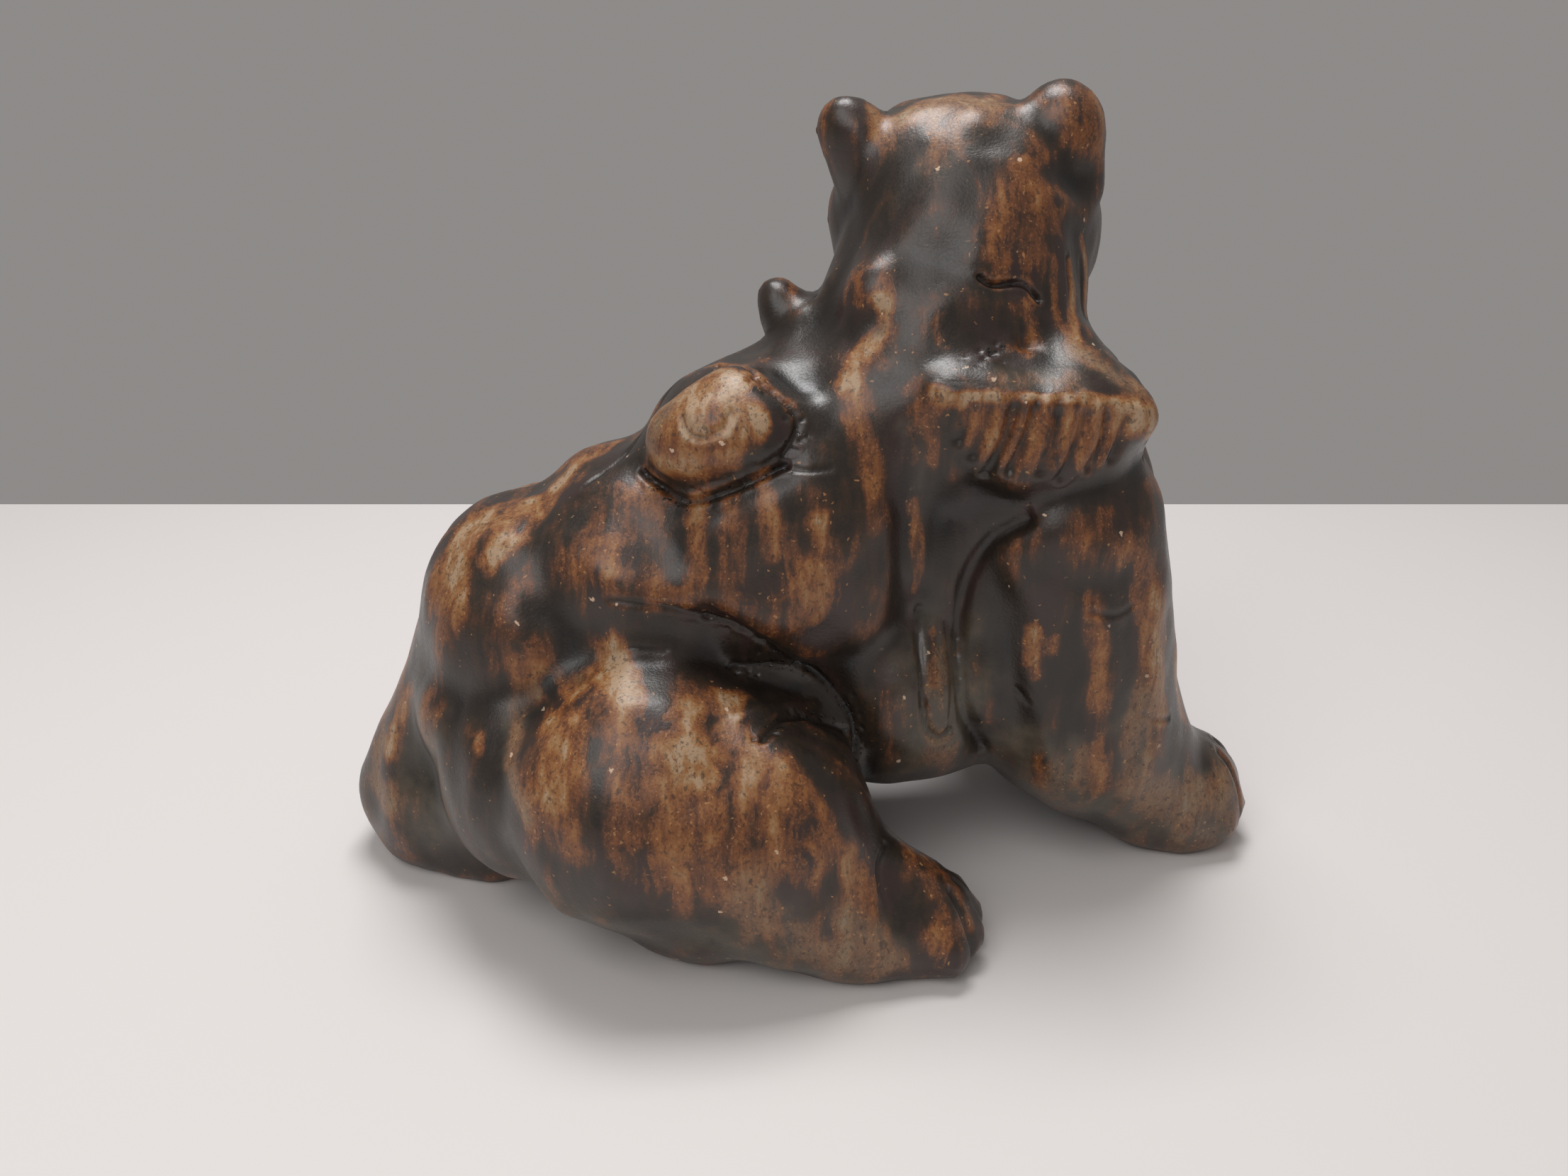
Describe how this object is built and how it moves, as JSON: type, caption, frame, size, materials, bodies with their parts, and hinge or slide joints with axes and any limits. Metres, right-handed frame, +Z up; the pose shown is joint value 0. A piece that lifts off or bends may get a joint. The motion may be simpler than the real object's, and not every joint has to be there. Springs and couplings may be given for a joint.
{
  "type": "ceramic bear figurine",
  "caption": "Glazed stoneware figurine of a seated bear, forelegs planted, head turned over its left shoulder.",
  "frame": {"origin": "middle of the figure's footprint box, on the table it stands on", "axes": "+X the way the chest points, +Y the bear's left, +Z up"},
  "size_m": [0.1508, 0.095, 0.1201],
  "materials": {
    "glaze": "satin brown-black glaze that breaks to rust and ochre"
  },
  "bodies": {
    "root": {"bear": "glaze"}
  },
  "joints": []
}
